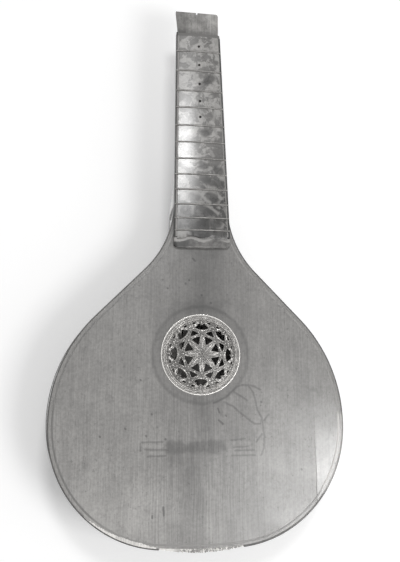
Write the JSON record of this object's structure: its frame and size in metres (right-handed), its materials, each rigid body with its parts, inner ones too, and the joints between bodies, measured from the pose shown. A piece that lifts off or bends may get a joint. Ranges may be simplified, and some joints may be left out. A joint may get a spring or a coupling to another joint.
{
  "type": "english guitar",
  "caption": "Pear-shaped flat-backed plucked instrument body with ribbed sound box, pierced metal rose, neck, cambered fretted fingerboard and bare head block.",
  "frame": {"origin": "middle of the underside: the centre of the bounding box in X and Y, at the flat back's outer face", "axes": "+X to the treble side, +Y up the neck, +Z out of the soundboard"},
  "size_m": [0.2982, 0.5553, 0.0752],
  "materials": {
    "soundboard_wood": "aged varnished spruce, satin to gloss",
    "maple": "dark varnished maple, gloss",
    "dark_wood": "black stained wood, satin",
    "pale_line": "pale inlay line, worn",
    "plain_wood": "bare inside wood, matt",
    "brass": "old brass, worn",
    "shell_veneer": "mottled shell-like veneer, polished",
    "bone": "turned bone, satin"
  },
  "bodies": {
    "root": {"back_bar_lower": "plain_wood", "back_bar_middle": "plain_wood", "back_bar_upper": "plain_wood", "back_bass": "maple", "back_joint_strip": "plain_wood", "back_lining_bass": "plain_wood", "back_lining_treble": "plain_wood", "back_treble": "maple", "binding_bass": "dark_wood", "binding_treble": "dark_wood", "end_block": "plain_wood", "fingerboard_core": "dark_wood", "fingerboard_edge_bass": "dark_wood", "fingerboard_edge_treble": "dark_wood", "fingerboard_line_bass": "pale_line", "fingerboard_line_treble": "pale_line", "fingerboard_veneer": "shell_veneer", "fret_01": "brass", "fret_02": "brass", "fret_03": "brass", "fret_04": "brass", "fret_05": "brass", "fret_06": "brass", "fret_07": "brass", "fret_08": "brass", "fret_09": "brass", "fret_10": "brass", "fret_11": "brass", "fret_12": "brass", "heel_cap": "dark_wood", "hitch_pin_1": "bone", "hitch_pin_2": "bone", "hitch_pin_3": "bone", "hitch_pin_4": "bone", "hitch_pin_5": "bone", "hitch_pin_6": "bone", "neck": "maple", "neck_block": "plain_wood", "purfling_bass": "dark_wood", "purfling_treble": "dark_wood", "rib_bass": "maple", "rib_treble": "maple", "rose_ring": "brass", "rose_tracery": "brass", "soundboard_bar_lower": "plain_wood", "soundboard_bar_middle": "plain_wood", "soundboard_bar_upper": "plain_wood", "soundboard_bass": "soundboard_wood", "soundboard_treble": "soundboard_wood", "soundboard_wing": "soundboard_wood", "soundhole_patch": "plain_wood", "stringing_bass": "pale_line", "stringing_treble": "pale_line", "top_lining_bass": "plain_wood", "top_lining_treble": "plain_wood"}
  },
  "joints": []
}
